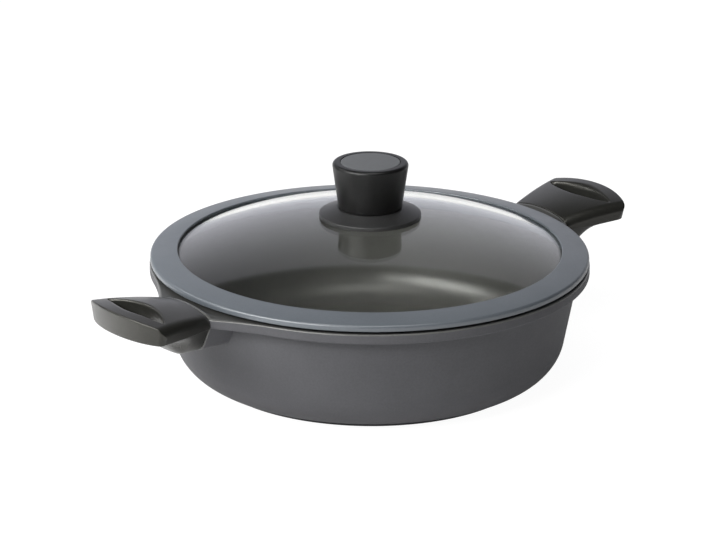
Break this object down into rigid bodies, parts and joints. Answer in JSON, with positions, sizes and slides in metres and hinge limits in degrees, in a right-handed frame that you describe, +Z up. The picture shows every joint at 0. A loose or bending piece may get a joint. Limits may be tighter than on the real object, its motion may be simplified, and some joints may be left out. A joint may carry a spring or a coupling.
{
  "type": "casserole pot with lid",
  "caption": "Shallow round casserole pot with side handles and a domed glass lid in a soft rim ring with a conical knob, for cooking on a hob and serving.",
  "frame": {"origin": "centre of the base, on the plane the pot stands on", "axes": "+Z up along the pot's axis, +X through the right handle, handles on both ends of X"},
  "size_m": [0.428, 0.297, 0.1465],
  "materials": {
    "pot_coating": "dark grey non-stick coating, satin, over cast aluminium",
    "base_steel": "turned stainless induction plate",
    "handle_phenolic": "black phenolic, fine satin",
    "knob_phenolic": "black phenolic, satin",
    "rim_silicone": "blue-grey silicone, matt",
    "cap_silicone": "blue-grey silicone, matt",
    "gasket_silicone": "dark silicone, matt",
    "lid_glass": "clear toughened glass",
    "insert_brass": "turned",
    "fastener_steel": "bright stainless"
  },
  "bodies": {
    "pot": {"pot_body": "pot_coating", "induction_base_plate": "base_steel", "handle_right": "handle_phenolic", "handle_screw_right": "fastener_steel", "handle_washer_right": "fastener_steel", "handle_left": "handle_phenolic", "handle_screw_left": "fastener_steel", "handle_washer_left": "fastener_steel"},
    "lid": {"lid_rim_ring": "rim_silicone", "lid_glass": "lid_glass", "knob_skirt": "knob_phenolic", "knob_body": "knob_phenolic", "knob_cap": "cap_silicone", "knob_threaded_insert": "insert_brass", "knob_gasket_upper": "gasket_silicone", "knob_gasket_lower": "gasket_silicone", "knob_screw_washer": "fastener_steel", "knob_screw": "fastener_steel"}
  },
  "joints": [
    {"name": "lid_lift", "type": "slide", "parent": "pot", "child": "lid", "axis": [0, 0, 1], "range_m": [0, 0.15]}
  ]
}
